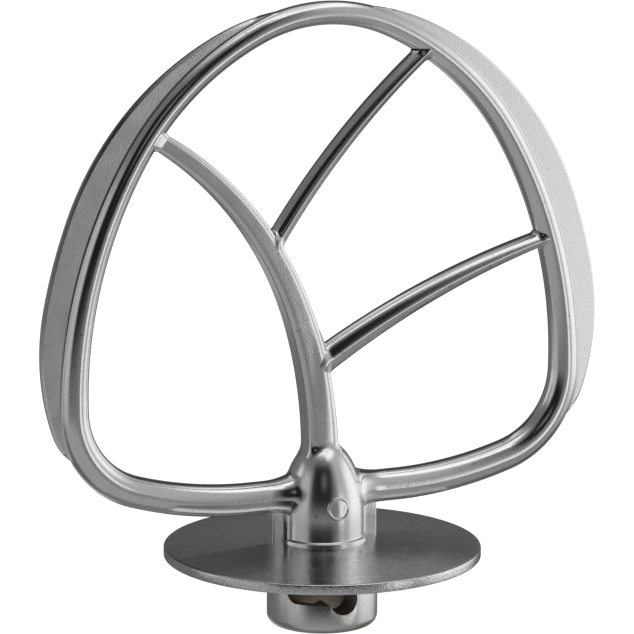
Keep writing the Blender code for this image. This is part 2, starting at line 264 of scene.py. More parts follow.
def loop_radius(distance):
    x, z, _ = loop_line.point(distance)
    low = np.clip((LOOP_TOP - z) / (LOOP_TOP - LOOP_ARM_Z), 0, 1)
    radius = LOOP_RADIUS_TOP + (LOOP_RADIUS_ARM - LOOP_RADIUS_TOP) * low**LOOP_TAPER_POWER
    flare = ARM_ROOT_FLARE * np.clip(1 - np.abs(x) / ARM_ROOT_REACH, 0, 1) ** 2
    return radius + np.where(z < 2 * LOOP_ARM_Z, flare, 0)


def taper(ends, length):
    def size(distance):
        return ends[0] + (ends[1] - ends[0]) * np.clip(np.asarray(distance) / length, 0, 1)

    return size


def nose_radius(z):
    above = np.clip((np.asarray(z) - HUB_BARREL_TOP) / HUB_NOSE_LENGTH, 0, 0.995)
    return HUB_RADIUS * np.sqrt(1 - above**HUB_NOSE_POWER)


def hub_field(points):
    """About the distance outside the hub: its wall's slope turns the gap along the radius into a distance."""
    z = points[..., 2]
    above = np.clip((z - HUB_BARREL_TOP) / HUB_NOSE_LENGTH, 0, 0.985)
    steepness = HUB_NOSE_POWER / 2 * above ** (HUB_NOSE_POWER - 1) / np.sqrt(1 - above**HUB_NOSE_POWER)
    slope = HUB_RADIUS / HUB_NOSE_LENGTH * steepness
    return (np.hypot(points[..., 0], points[..., 1]) - nose_radius(z)) / np.sqrt(1 + slope**2)


def blended(first, second, fillet, fade):
    """The field of two shapes joined by a fillet of about that radius, less where fade is under 1."""

    def field(points):
        a = first(points)
        b = second(points)
        size = fillet * fade(points) + 1e-6
        share = np.clip(0.5 + 0.5 * (b - a) / size, 0, 1)
        return b * (1 - share) + a * share - size * share * (1 - share)

    return field


def gradient(field, points, reach=2e-5):
    parts = []
    for axis in range(3):
        step = np.zeros(3)
        step[axis] = reach
        parts.append((field(points + step) - field(points - step)) / (2 * reach))
    return np.stack(parts, -1)


def settle(field, points, rounds=10):
    """Moves points onto the field's zero surface, down its gradient."""
    for _ in range(rounds):
        slope = gradient(field, points)
        size = np.maximum((slope**2).sum(-1, keepdims=True), 0.05)
        step = field(points)[..., None] * slope / size
        points = points - np.clip(step, -0.0006, 0.0006)
    return points


def normals_of(field, points):
    slope = gradient(field, points)
    return slope / np.linalg.norm(slope, axis=-1, keepdims=True)


# ---------------------------------------------------------------- meshes


def make_object(name, vertices, faces, normals=None, smooth_below=None):
    mesh = bpy.data.meshes.new(name)
    mesh.from_pydata([tuple(v) for v in vertices], [], faces)
    mesh.update()
    builder = bmesh.new()
    builder.from_mesh(mesh)
    bmesh.ops.recalc_face_normals(builder, faces=builder.faces)
    if builder.calc_volume(signed=True) < 0:
        bmesh.ops.reverse_faces(builder, faces=builder.faces)
    builder.to_mesh(mesh)
    builder.free()
    mesh.shade_smooth()
    if smooth_below is not None:
        mesh.set_sharp_from_angle(angle=smooth_below)
    if normals is not None:
        mesh.normals_split_custom_set_from_vertices([tuple(n) for n in normals])
    piece = bpy.data.objects.new(name, mesh)
    bpy.context.scene.collection.objects.link(piece)
    return piece


def tube(name, rings, ring_normals, end_points):
    """A closed tube through rings of points, closed by fans on two end points."""
    count, around = rings.shape[:2]
    vertices = np.concatenate([rings.reshape(-1, 3), np.array(end_points)])
    tips = [rings[1].mean(0) - rings[0].mean(0), rings[-2].mean(0) - rings[-1].mean(0)]
    normals = np.concatenate([ring_normals.reshape(-1, 3), -np.array(tips)])
    faces = []
    for i in range(count - 1):
        for k in range(around):
            after = (k + 1) % around
            faces.append((i * around + k, i * around + after, (i + 1) * around + after, (i + 1) * around + k))
    low, high = count * around, count * around + 1
    last = (count - 1) * around
    for k in range(around):
        after = (k + 1) % around
        faces.append((low, after, k))
        faces.append((high, last + k, last + after))
    normals /= np.linalg.norm(normals, axis=1, keepdims=True)
    return make_object(name, vertices, faces, normals)


def line_end(bar, neighbour, fillet, turn, inside, outside):
    """For each line along a bar, the distance at which it has sunk into its neighbour by the fillet's size."""
    sunk = np.full(turn.shape, float(inside))
    clear = np.full(turn.shape, float(outside))
    for _ in range(40):
        middle = (sunk + clear) / 2
        deep = neighbour(bar.surface(middle, turn)) < -0.95 * fillet
        sunk = np.where(deep, middle, sunk)
        clear = np.where(deep, clear, middle)
    return sunk


def plain_end(distance):
    return {"distance": distance}


def full_fillet(points):
    return 1.0


def hub_end(inside, outside, fillet):
    """An end that runs into the hub. inside and outside are distances known to be in and clear of it."""
    return {"inside": inside, "outside": outside, "neighbour": hub_field, "fillet": fillet, "fade": full_fillet}


def bar_end(bar, neighbour, near, outside, fillet):
    """An end that runs almost to the middle of another bar, which bar's centreline crosses close to near."""
    tries = np.linspace(near - 0.006, near + 0.006, 4801)
    x, z, _ = bar.line.point(tries)
    along, across = neighbour.line.nearest(np.stack([x, 0 * x, z], -1))
    crossing = tries[np.abs(across).argmin()]
    towards = (tries - crossing) * (outside - crossing) >= 0
    short = np.abs(np.abs(across) / neighbour.half_width(along) - SKIN_END)
    return {
        "inside": float(tries[towards][short[towards].argmin()]),
        "outside": outside,
        "neighbour": neighbour.field,
        "fillet": fillet,
        "fade": neighbour.off_middle,
    }


def bar_piece(name, bar, low_end, high_end, around=AROUND):
    """A bar from one end to the other, filleted onto whatever it runs into."""
    turn = np.arange(around) * 2 * pi / around
    field = bar.field
    limits = []
    for end in (low_end, high_end):
        if "neighbour" in end:
            limits.append(line_end(bar, end["neighbour"], end["fillet"], turn, end["inside"], end["outside"]))
            field = blended(field, end["neighbour"], end["fillet"], end["fade"])
        else:
            limits.append(np.full(around, float(end["distance"])))
    low, high = limits
    dense = [2.6 * end.get("fillet", 0.0) for end in (low_end, high_end)]
    length = float((high - low).mean())
    runs = []
    if dense[0]:
        runs.append(low[None] + dense[0] * np.linspace(0, 1, 22, endpoint=False)[:, None])
    middle = max(4, round((length - sum(dense)) / STEP))
    share = np.linspace(0, 1, middle, endpoint=False)[:, None]
    runs.append((low + dense[0])[None] * (1 - share) + (high - dense[1])[None] * share)
    runs.append(high[None] - dense[1] * np.linspace(1, 0, 22 if dense[1] else 1)[:, None])
    distance = np.concatenate(runs)
    rings = bar.surface(distance, np.broadcast_to(turn, distance.shape))
    rings = settle(field, rings)
    normals = normals_of(field, rings)
    for end in (low_end, high_end):
        if "neighbour" in end:
            shared = np.clip(1 - end["neighbour"](rings) / SKIN_SHARED, 0, 1)
            rings = rings - normals * (SKIN_SINK * shared)[..., None]
    tips = []
    for index, end in ((0, low_end), (-1, high_end)):
        middle = rings[index].mean(0)
        if "neighbour" in end:
            sunk = rings[index] - 0.0003 * normals[index]
            sunk = sunk + 0.15 * (middle - sunk)
            order = (sunk[None], rings) if index == 0 else (rings, sunk[None])
            rings = np.concatenate(order)
            order = (normals[:1], normals) if index == 0 else (normals, normals[-1:])
            normals = np.concatenate(order)
            middle = sunk.mean(0) - 0.0005 * normals_of(end["neighbour"], middle)
        tips.append(middle)
    piece = tube(name, rings, normals, tips)
    finish_piece(piece, name)
    return piece


def finish_piece(piece, *nodes):
    slots = {part["node"]: part["material_slot"] for part in frame["record"]["subparts"]}
    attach(piece, "root")
    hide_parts(*nodes)
    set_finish(piece, slots[nodes[0]])


def revolved(name, profile, around=160):
    """A closed body turned about Z from (radius, z) points. Points on the axis become one vertex."""
    builder = bmesh.new()
    points = [builder.verts.new((radius, 0.0, z)) for radius, z in profile]
    edges = [builder.edges.new(pair) for pair in zip(points, points[1:])]
    if profile[0][0] > 0:
        edges.append(builder.edges.new((points[-1], points[0])))
    bmesh.ops.spin(
        builder,
        geom=points + edges,
        axis=(0, 0, 1),
        cent=(0, 0, 0),
        angle=2 * pi,
        steps=around,
        use_merge=True,
    )
    bmesh.ops.remove_doubles(builder, verts=builder.verts, dist=1e-6)
    vertices = [v.co.copy() for v in builder.verts]
    builder.verts.index_update()
    faces = [[v.index for v in face.verts] for face in builder.faces]
    builder.free()
    return make_object(name, vertices, faces, smooth_below=radians(32))


def arc_points(centre, radius, begin, end, steps):
    """Points on an arc in (radius, z), from one angle to another in degrees."""
    angles = [radians(begin + (end - begin) * i / steps) for i in range(steps + 1)]
    return [(centre[0] + radius * cos(a), centre[1] + radius * sin(a)) for a in angles]


# ---------------------------------------------------------------- loop and ribs

ARC_ENDS = np.cumsum([radius * radians(turn) for radius, turn in LOOP_ARCS])
loop_line = Line((0.0, LOOP_TOP), 0.0, LOOP_ARCS, mirrored=True)
loop = Bar(loop_line, loop_radius, loop_radius)

RIB_FACES = ((0, 1), (180, 1), (90, 1), (-90, 1), (58, 1.22), (-58, 1.22), (122, 1.22), (-122, 1.22))
BRANCH_FACES = ((0, 1), (180, 1), (62, 1), (118, 1), (-62, 1), (-118, 1), (25, 1), (-25, 1), (155, 1), (205, 1))
main_rib_line = Line(MAIN_RIB_START, radians(MAIN_RIB_HEADING), MAIN_RIB_ARCS)
main_rib = Bar(
    main_rib_line,
    taper((0.0043, 0.0024), main_rib_line.length),
    taper((0.0038, 0.0029), main_rib_line.length),
    faceted_section(RIB_FACES, 26),
)
upper_line = branch_line(UPPER_BRANCH_CENTRE, UPPER_BRANCH_RADIUS, UPPER_BRANCH_ENDS_X)
upper_branch = Bar(
    upper_line,
    taper((0.0026, 0.0022), upper_line.length),
    taper((0.0028, 0.0030), upper_line.length),
    faceted_section(BRANCH_FACES, 12),
)
lower_line = branch_line(LOWER_BRANCH_CENTRE, LOWER_BRANCH_RADIUS, LOWER_BRANCH_ENDS_X)
lower_branch = Bar(
    lower_line,
    taper((0.0041, 0.0022), lower_line.length),
    taper((0.0034, 0.0032), lower_line.length),
    faceted_section(BRANCH_FACES, 12),
)


def add_loop():
    reach = ARC_ENDS[4] + float(loop_line.point(ARC_ENDS[4])[0])
    in_hub = reach - 0.003
    off_hub = reach - 0.022
    bar_piece("top_bow", loop, plain_end(-ARC_ENDS[0]), plain_end(ARC_ENDS[0]))
    bar_piece("left_side_bar", loop, plain_end(-ARC_ENDS[2]), plain_end(-ARC_ENDS[0]))
    bar_piece("right_side_bar", loop, plain_end(ARC_ENDS[0]), plain_end(ARC_ENDS[2]))
    bar_piece("left_arm", loop, hub_end(-in_hub, -off_hub, ARM_FILLET), plain_end(-ARC_ENDS[2]))
    bar_piece("right_arm", loop, plain_end(ARC_ENDS[2]), hub_end(in_hub, off_hub, ARM_FILLET))


def add_ribs():
    length = main_rib_line.length
    tip = bar_end(main_rib, loop, length, length - 0.012, RIB_FILLET)
    bar_piece("main_rib", main_rib, hub_end(-0.010, 0.006, RIB_FILLET), tip)
    for name, bar in (("upper_branch", upper_branch), ("lower_branch", lower_branch)):
        length = bar.line.length
        root = bar_end(bar, main_rib, 0.0, 0.016, RIB_FILLET)
        tip = bar_end(bar, loop, length, length - 0.012, RIB_FILLET)
        bar_piece(name, bar, root, tip)


# ---------------------------------------------------------------- blades and webs


def blade_section(bar_radius, width):
    """(across, depth) of a blade's front half, from the bar's surface to its outer edge."""
    half = BLADE_THICKNESS / 2
    fillet = BLADE_FILLET
    foot = sqrt((bar_radius + fillet) ** 2 - (half + fillet) ** 2)
    begin = atan2(half + fillet, -foot)
    angles = [begin + (pi / 2 - begin) * i / 8 for i in range(9)]
    points = [(foot + fillet * cos(a), half + fillet - fillet * sin(a)) for a in angles]
    face_end = max(width - BLADE_BEVEL, foot + 0.0002)
    for share in (0.0, 0.5, 1.0):
        points.append((foot + 0.0001 + (face_end - foot - 0.0002) * share, half))
    points.append((face_end, half))
    points.append((width, half - 0.8 * BLADE_BEVEL))
    return [(min(across, width), depth) for across, depth in points]


def add_blades():
    outline = Line(BLADE_START, radians(BLADE_HEADING), BLADE_ARCS)
    x, z, _ = outline.point(np.linspace(0, outline.length, 900))
    along, across = loop_line.nearest(np.stack([x, 0 * x, z], -1))
    stations = np.linspace(along[0] + 0.0005, along[-1] - 0.0005, 240)
    widths = np.interp(stations, along, across) - BLADE_INSET
    radii = loop_radius(stations)
    for side, sign in (("left", -1), ("right", 1)):
        bar_x, bar_z, heading = loop_line.point(sign * stations)
        rings = []
        for i, (radius, width) in enumerate(zip(radii, widths)):
            front = blade_section(radius, width)
            section = [(a, -depth) for a, depth in front] + [(a, depth) for a, depth in reversed(front)]
            direction = (-sin(heading[i]), cos(heading[i]))
            rings.append([(bar_x[i] + a * direction[0], y, bar_z[i] + a * direction[1]) for a, y in section])
        rings = np.array(rings)
        count, around = rings.shape[:2]
        faces = []
        for i in range(count - 1):
            for k in range(around):
                after = (k + 1) % around
                faces.append((i * around + k, i * around + after, (i + 1) * around + after, (i + 1) * around + k))
        faces.append(list(range(around)))
        faces.append(list(range((count - 1) * around, count * around)))
        name = f"{side}_blade"
        piece = make_object(name, rings.reshape(-1, 3), faces, smooth_below=radians(24))
        finish_piece(piece, name)


def web_outline(hub, reach, half, fillet, corner):
    """The web's outline at one height, from inside the hub round its outer end and back."""
    span = sqrt((hub + fillet) ** 2 - (half + fillet) ** 2)
    begin = atan2(half + fillet, -span)
    side = [(hub * 0.75, half * 0.9)]
    for i in range(9):
        angle = begin + (pi / 2 - begin) * i / 8
        side.append((span + fillet * cos(angle), half + fillet - fillet * sin(angle)))
    side.append((span + 0.0001, half))
    side.append((reach - corner - 0.0001, half))
    for i in range(5):
        angle = pi / 2 - pi / 2 * i / 4
        side.append((reach - corner + corner * cos(angle), half - corner + corner * sin(angle)))
    side.append((reach, half - corner - 0.0001))
    return [(x, -y) for x, y in side] + [(x, y) for x, y in reversed(side)]


def add_webs():
    half = WEB_THICKNESS / 2
    for side, sign in (("left", -1), ("right", 1)):
        rings = []
        for z in np.linspace(DISC_RIM_TOP + 0.0002, LOOP_ARM_Z - 0.0012, 14):
            outline = web_outline(float(nose_radius(z)), WEB_REACH, half, 0.0016, 0.00035)
            rings.append([(sign * x, y, z) for x, y in outline])
        rings = np.array(rings)
        count, around = rings.shape[:2]
        faces = []
        for i in range(count - 1):
            for k in range(around):
                after = (k + 1) % around
                faces.append((i * around + k, i * around + after, (i + 1) * around + after, (i + 1) * around + k))
        faces.append(list(range(around)))
        faces.append(list(range((count - 1) * around, count * around)))
        name = f"{side}_web"
        piece = make_object(name, rings.reshape(-1, 3), faces, smooth_below=radians(40))
        finish_piece(piece, name)


# ---------------------------------------------------------------- hub, disc and collar


def add_hub():
    heights = [HUB_BARREL_TOP + HUB_NOSE_LENGTH * sin(pi / 2 * i / 48) for i in range(49)]
    side = [(HUB_RADIUS, HUB_BASE - 0.0007)] + [(float(nose_radius(z)), z) for z in heights[:-1]]
    top = [(0.0, HUB_BARREL_TOP + HUB_NOSE_LENGTH)]
    socket = [(0.0, SOCKET_DEPTH), (SOCKET_RADIUS, SOCKET_DEPTH), (SOCKET_RADIUS, HUB_BASE - 0.0007)]
    piece = revolved("hub_dome", socket + side + top)
    finish_piece(piece, "hub_dome")
    low = 0.0226
    lip = 0.00035
    profile = [(SOCKET_RADIUS, low), (FLANGE_RADIUS + 0.0001, low)]
    profile += arc_points((FLANGE_RADIUS - lip, HUB_BASE - 0.0003 - lip), lip, 0, 90, 6)
    profile += arc_points((HUB_RADIUS + 0.0005, HUB_BASE + 0.0002), 0.0005, -90, -180, 6)
    profile += [(HUB_RADIUS - 0.0008, HUB_BASE + 0.0002), (SOCKET_RADIUS, HUB_BASE - 0.0009)]
    piece = revolved("hub_flange", profile)
    finish_piece(piece, "hub_flange")


def disc_top(radius, y):
    inside = radius / DISC_RADIUS
    return DISC_RIM_TOP + DISC_RISE * (1 - inside) - DISC_DRAFT * abs(y) * (1 - inside**2)


def add_disc():
    """A thin shield with a rounded rim. A sharp ridge runs across its top along X."""
    around = 192
    edge = 0.0005
    inner = HUB_RADIUS - 0.002
    radii = [inner + (DISC_RADIUS - edge - inner) * i / 40 for i in range(41)]
    vertices = []
    rings = []

    def ring(radius, height):
        first = len(vertices)
        for k in range(around):
            turn = 2 * pi * k / around
            x, y = radius * cos(turn), radius * sin(turn)
            vertices.append((x, y, height(radius, y) if callable(height) else height))
        rings.append(range(first, first + around))

    for radius in radii:
        ring(radius, disc_top)
    low_edge = 0.0004
    for radius, z in arc_points((DISC_RADIUS - edge, DISC_RIM_TOP - edge), edge, 75, 0, 5):
        ring(radius, z)
    for radius, z in arc_points((DISC_RADIUS - low_edge, DISC_UNDERSIDE + low_edge), low_edge, 0, -90, 5):
        ring(radius, z)
    for radius in (DISC_RADIUS - 0.001, 0.030, 0.020, inner):
        ring(radius, DISC_UNDERSIDE)
    faces = []
    for first, second in zip(rings, rings[1:] + rings[:1]):
        for k in range(around):
            after = (k + 1) % around
            faces.append((first[k], first[after], second[after], second[k]))
    piece = make_object("splash_disc", vertices, faces, smooth_below=radians(32))
    sharp = piece.data.attributes.get("sharp_edge")
    if sharp is None:
        sharp = piece.data.attributes.new("sharp_edge", "BOOLEAN", "EDGE")
    for line in piece.data.edges:
        ends = [piece.data.vertices[v].co for v in line.vertices]
        if all(abs(p.y) < 1e-6 and p.z > DISC_RIM_TOP - 1e-5 for p in ends):
            sharp.data[line.index].value = True
    finish_piece(piece, "splash_disc")


def cutter(name, builder):
    mesh = bpy.data.meshes.new(name)
    bmesh.ops.recalc_face_normals(builder, faces=builder.faces)
    builder.to_mesh(mesh)
    builder.free()
    item = bpy.data.objects.new(name, mesh)
    bpy.context.scene.collection.objects.link(item)
    return item


def radial_cylinder(radius, angle, z):
    direction = Vector((cos(angle), sin(angle), 0))
    turned = direction.to_track_quat("Z", "Y").to_matrix().to_4x4()
    builder = bmesh.new()
    bmesh.ops.create_cone(
        builder,
        cap_ends=True,
        segments=48,
        radius1=radius,
        radius2=radius,
        depth=0.0122,
        matrix=Matrix.Translation(direction * 0.0119 + Vector((0, 0, z))) @ turned,
    )
    return cutter("pin_cutter", builder)


def slot_sector():
    builder = bmesh.new()
    corners = [(0.0058, PIN_SLOT_LOW), (0.018, PIN_SLOT_LOW), (0.018, PIN_SLOT_HIGH), (0.0058, PIN_SLOT_HIGH)]
    rings = []
    for i in range(25):
        angle = -pi / 2 - PIN_TURN * i / 24
        rings.append([builder.verts.new((r * cos(angle), r * sin(angle), z)) for r, z in corners])
    for ring, following in zip(rings, rings[1:]):
        for k in range(4):
            builder.faces.new((ring[k - 1], ring[k], following[k], following[k - 1]))
    builder.faces.new(rings[0])
    builder.faces.new(rings[-1])
    return cutter("slot_cutter", builder)


def keyway():
    builder = bmesh.new()
    width = PIN_SLOT_HIGH - PIN_SLOT_LOW
    depth = KEYWAY_REACH - 0.0058
    bmesh.ops.create_cube(builder, size=1)
    bmesh.ops.scale(builder, vec=(depth, width, 0.0122), verts=builder.verts)
    bmesh.ops.translate(builder, vec=(KEYWAY_REACH - depth / 2, 0, 0.0058), verts=builder.verts)
    turned = Matrix.Rotation(-pi / 2 - PIN_TURN, 3, "Z")
    bmesh.ops.rotate(builder, cent=(0, 0, 0), matrix=turned, verts=builder.verts)
    return cutter("keyway_cutter", builder)


def add_collar():
    top = DISC_UNDERSIDE + 0.0004
    lip = 0.0004
    profile = [(SOCKET_RADIUS, top), (SOCKET_RADIUS, lip), (SOCKET_RADIUS + lip, 0.0)]
    for i in range(13):
        turn = pi / 2 * i / 12
        radius = COLLAR_RADIUS - COLLAR_ROUNDING * (1 - sin(turn))
        profile.append((radius, COLLAR_ROUNDING * (1 - cos(turn))))
    profile.append((COLLAR_RADIUS, top))
    piece = revolved("bayonet_collar", profile)
    slot_middle = (PIN_SLOT_LOW + PIN_SLOT_HIGH) / 2
    slot_half = (PIN_SLOT_HIGH - PIN_SLOT_LOW) / 2
    cutters = [
        slot_sector(),
        radial_cylinder(slot_half, -pi / 2 - PIN_TURN, slot_middle),
        radial_cylinder(PIN_POCKET_RADIUS, -pi / 2, PIN_POCKET_Z),
        keyway(),
    ]
    for item in cutters:
        modifier = piece.modifiers.new("cut", "BOOLEAN")
        modifier.operation = "DIFFERENCE"
        modifier.solver = "EXACT"
        modifier.object = item
    soften = piece.modifiers.new("soften", "BEVEL")
    soften.limit_method = "ANGLE"
    soften.angle_limit = radians(40)
    soften.width = 0.0002
    soften.segments = 2
    soften.use_clamp_overlap = True
    graph = bpy.context.evaluated_depsgraph_get()
    mesh = bpy.data.meshes.new_from_object(piece.evaluated_get(graph), depsgraph=graph)
    piece.modifiers.clear()
    piece.data = mesh
    mesh.shade_smooth()
    mesh.set_sharp_from_angle(angle=radians(32))
    for item in cutters:
        bpy.data.objects.remove(item)
    finish_piece(piece, "bayonet_collar")


def add_badge():
    """A blank coin-shaped pad on the hub's front, with a thin raised rim."""
    profile = ((1.0, -0.0004), (1.0, 0.00018), (0.97, 0.00036), (0.90, 0.0004), (0.85, 0.00036))
    profile += ((0.81, 0.00018), (0.75, 0.00014), (0.5, 0.00016), (0.25, 0.00017))
    rings = []
    for share, height in profile:
        ring = []
        for k in range(64):
            turn = 2 * pi * k / 64
            x = BADGE_RADIUS * share * cos(turn)
            z = BADGE_Z + BADGE_RADIUS * share * sin(turn)
            ring.append((x, -sqrt((float(nose_radius(z)) + height) ** 2 - x**2), z))
        rings.append(ring)
    rings = np.array(rings)
    count, around = rings.shape[:2]
    vertices = list(rings.reshape(-1, 3)) + [np.array((0, -float(nose_radius(BADGE_Z)) - 0.00017, BADGE_Z))]
    faces = []
    for i in range(count - 1):
        for k in range(around):
            after = (k + 1) % around
            faces.append((i * around + k, i * around + after, (i + 1) * around + after, (i + 1) * around + k))
    last = (count - 1) * around
    for k in range(around):
        faces.append((last + k, last + (k + 1) % around, count * around))
    faces.append(list(range(around)))
    piece = make_object("mould_badge", vertices, faces, smooth_below=radians(50))
    finish_piece(piece, "mould_badge")


# ---------------------------------------------------------------- materials


def node(tree, kind, **inputs):
    item = tree.nodes.new(kind)
    for key, value in inputs.items():
        item.inputs[key.replace("_", " ")].default_value = value
    return item


def math_node(tree, operation, first, second=None):
    """A math node fed by sockets or numbers. Returns its result."""
    item = tree.nodes.new("ShaderNodeMath")
    item.operation = operation
    for socket, value in zip(item.inputs, (first, second)):
        if value is None:
            continue
        if isinstance(value, (int, float)):
            socket.default_value = value
        else:
            tree.links.new(value, socket)
    return item.outputs["Value"]


def steel(name, colour, roughness, spread, grain, bump, speckle, wear=1.0, bore=False):
    """Steel with mottled roughness, a speckled cast grain, fine pits and edges worn bright.

    A bored one is dark and rough inside the collar's wall.
    """
    material = bpy.data.materials.new(name)
    material.use_nodes = True
    tree = material.node_tree
    link = tree.links.new
    shader = tree.nodes["Principled BSDF"]
    shader.inputs["Metallic"].default_value = 1.0
    place = tree.nodes.new("ShaderNodeTexCoord").outputs["Object"]
    broad = node(tree, "ShaderNodeTexNoise", Scale=140.0, Detail=5.0)
    fine = node(tree, "ShaderNodeTexNoise", Scale=grain, Detail=3.0)
    pits = node(tree, "ShaderNodeTexNoise", Scale=700.0, Detail=2.0)
    for texture in (broad, fine, pits):
        link(place, texture.inputs["Vector"])
    pitted = node(tree, "ShaderNodeMapRange", Value=0.0)
    pitted.inputs["From Min"].default_value = 0.30
    pitted.inputs["From Max"].default_value = 0.24
    link(pits.outputs["Fac"], pitted.inputs["Value"])
    worn = node(tree, "ShaderNodeMapRange", Value=0.0)
    worn.inputs["From Min"].default_value = 0.60
    worn.inputs["From Max"].default_value = 0.74
    worn.inputs["To Max"].default_value = wear
    link(tree.nodes.new("ShaderNodeNewGeometry").outputs["Pointiness"], worn.inputs["Value"])
    tint = tree.nodes.new("ShaderNodeMix")
    tint.data_type = "RGBA"
    tint.inputs["A"].default_value = (*[0.84 * c for c in colour], 1)
    tint.inputs["B"].default_value = (*colour, 1)
    link(broad.outputs["Fac"], tint.inputs["Factor"])
    speckled = node(tree, "ShaderNodeMapRange", Value=0.0)
    speckled.inputs["From Min"].default_value = 0.40
    speckled.inputs["From Max"].default_value = 0.60
    speckled.inputs["To Min"].default_value = 1.0 - speckle / 2
    speckled.inputs["To Max"].default_value = 1.0 + speckle / 2
    link(fine.outputs["Fac"], speckled.inputs["Value"])
    grained = tree.nodes.new("ShaderNodeVectorMath")
    grained.operation = "SCALE"
    link(tint.outputs["Result"], grained.inputs[0])
    link(speckled.outputs["Result"], grained.inputs["Scale"])
    bright = tree.nodes.new("ShaderNodeMix")
    bright.data_type = "RGBA"
    bright.inputs["B"].default_value = (0.93, 0.93, 0.93, 1)
    link(worn.outputs["Result"], bright.inputs["Factor"])
    link(grained.outputs["Vector"], bright.inputs["A"])
    dark = tree.nodes.new("ShaderNodeMix")
    dark.data_type = "RGBA"
    dark.inputs["B"].default_value = (0.44, 0.43, 0.42, 1)
    link(pitted.outputs["Result"], dark.inputs["Factor"])
    link(bright.outputs["Result"], dark.inputs["A"])
    colour_socket = dark.outputs["Result"]
    rough = node(tree, "ShaderNodeMapRange")
    rough.inputs["To Min"].default_value = roughness - spread
    rough.inputs["To Max"].default_value = roughness + spread
    link(broad.outputs["Fac"], rough.inputs["Value"])
    rough_socket = rough.outputs["Result"]
    if bore:
        parts = tree.nodes.new("ShaderNodeSeparateXYZ")
        link(place, parts.inputs["Vector"])
        across = math_node(tree, "POWER", parts.outputs["X"], 2.0)
        deep = math_node(tree, "POWER", parts.outputs["Y"], 2.0)
        radius = math_node(tree, "SQRT", math_node(tree, "ADD", across, deep))
        inside = node(tree, "ShaderNodeMapRange")
        inside.inputs["From Min"].default_value = BORE_SHADE_RADII[1]
        inside.inputs["From Max"].default_value = BORE_SHADE_RADII[0]
        link(radius, inside.inputs["Value"])
        # Inside the bore the base colour turns darker and browner.
        darker_bore = tree.nodes.new("ShaderNodeMix")
        darker_bore.data_type = "RGBA"
        darker_bore.inputs["B"].default_value = (0.42, 0.38, 0.33, 1)
        link(inside.outputs["Result"], darker_bore.inputs["Factor"])
        link(colour_socket, darker_bore.inputs["A"])
        colour_socket = darker_bore.outputs["Result"]
        duller = tree.nodes.new("ShaderNodeMix")
        duller.inputs["B"].default_value = 0.55
        link(inside.outputs["Result"], duller.inputs["Factor"])
        link(rough_socket, duller.inputs["A"])
        rough_socket = duller.outputs["Result"]
    link(colour_socket, shader.inputs["Base Color"])
    link(rough_socket, shader.inputs["Roughness"])
    relief = node(tree, "ShaderNodeBump", Strength=bump, Distance=0.0001)
    link(fine.outputs["Fac"], relief.inputs["Height"])
    link(relief.outputs["Normal"], shader.inputs["Normal"])
    return material


def add_materials():
    looks = {
        "polished_steel": steel("polished_steel", (0.80, 0.80, 0.80), 0.14, 0.04, 1900.0, 0.15, 0.05),
        "blade_steel": steel("blade_steel", (0.80, 0.80, 0.80), 0.20, 0.05, 1900.0, 0.22, 0.07, wear=0.0),
        "brushed_steel": steel("brushed_steel", (0.72, 0.72, 0.73), 0.16, 0.08, 1500.0, 0.9, 0.20),
        "turned_steel": steel("turned_steel", (0.72, 0.715, 0.70), 0.26, 0.06, 1700.0, 0.35, 0.09, bore=True),
    }
    for piece in bpy.data.objects:
        if "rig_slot" in piece:
            piece.data.materials.clear()
            piece.data.materials.append(looks[piece["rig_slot"]])


# ---------------------------------------------------------------- studio

CAMERA_TURN = radians(23.75)
CAMERA_RISE = radians(12.25)
CAMERA_DISTANCE = 1.450
CAMERA_TARGET = Vector((-0.00178, 0.0, 0.0847))
CAMERA_LENS = 306.9
CAMERA_ROLL = radians(0.2)


def add_camera():
    data = bpy.data.cameras.new("camera")
    data.lens = CAMERA_LENS
    data.sensor_width = 36
    data.clip_start = 0.01
    camera = bpy.data.objects.new("camera", data)
    bpy.context.scene.collection.objects.link(camera)
    away = Vector(
        (-sin(CAMERA_TURN) * cos(CAMERA_RISE), -cos(CAMERA_TURN) * cos(CAMERA_RISE), sin(CAMERA_RISE))
    )
    camera.location = CAMERA_TARGET + CAMERA_DISTANCE * away
    aim = (-away).to_track_quat("-Z", "Y") @ Quaternion((0.0, 0.0, 1.0), CAMERA_ROLL)
    camera.rotation_euler = aim.to_euler()
    bpy.context.scene.camera = camera


